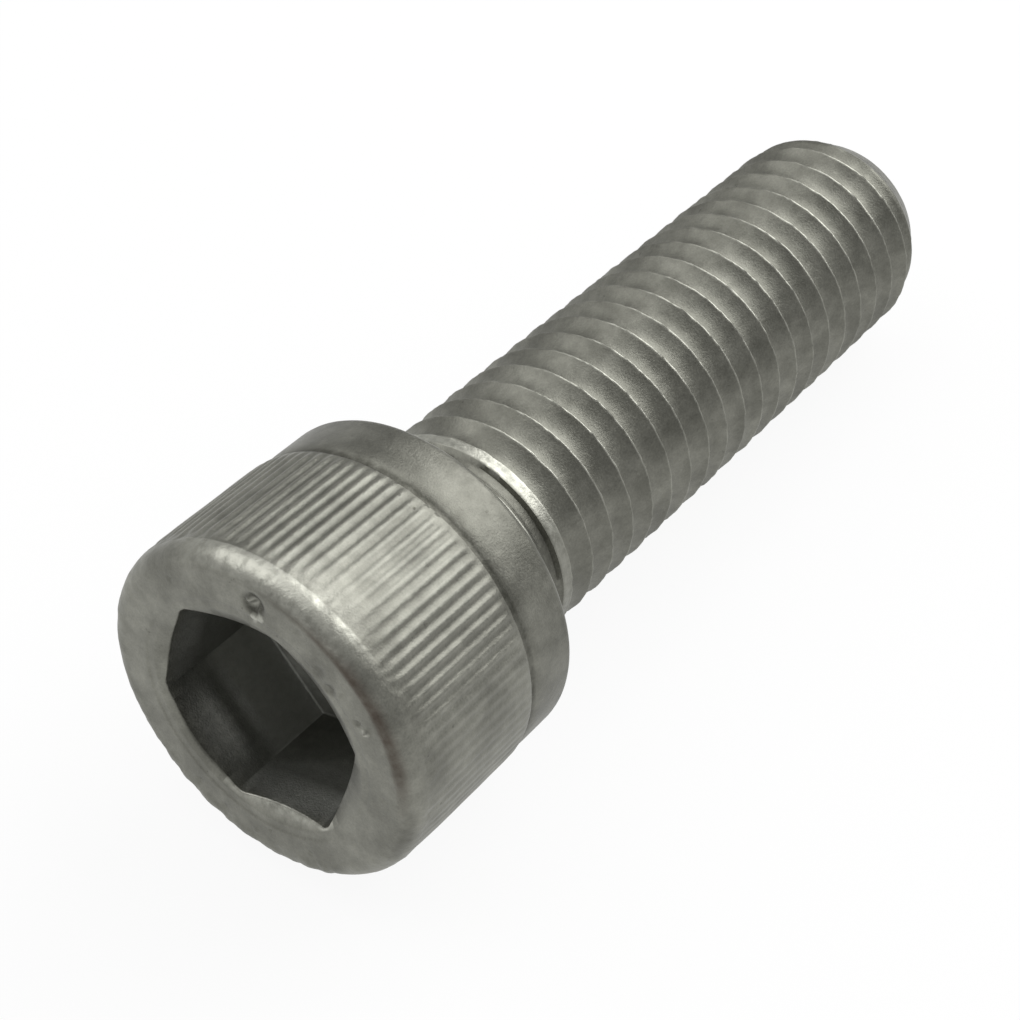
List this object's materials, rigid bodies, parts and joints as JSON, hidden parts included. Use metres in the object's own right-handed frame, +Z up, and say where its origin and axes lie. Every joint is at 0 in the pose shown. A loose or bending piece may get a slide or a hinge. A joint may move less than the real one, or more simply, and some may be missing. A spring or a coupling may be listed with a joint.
{
  "type": "hex socket cap screw",
  "caption": "Cap screw with a straight-knurled cylindrical head, a hexagon socket and a coarse right-hand thread along the whole shank, lying on its side.",
  "frame": {"origin": "on the level surface that the screw lies on, under the middle of its bounding box", "axes": "+X runs from the head to the tip and +Z points up. The screw's own axis lies in the XZ plane and leans 4.29 degrees, with the head's end higher."},
  "size_m": [0.0528, 0.018, 0.0186],
  "materials": {
    "coated_steel": "dull grey zinc coating on hardened steel"
  },
  "bodies": {
    "root": {"screw": "coated_steel"}
  },
  "joints": []
}
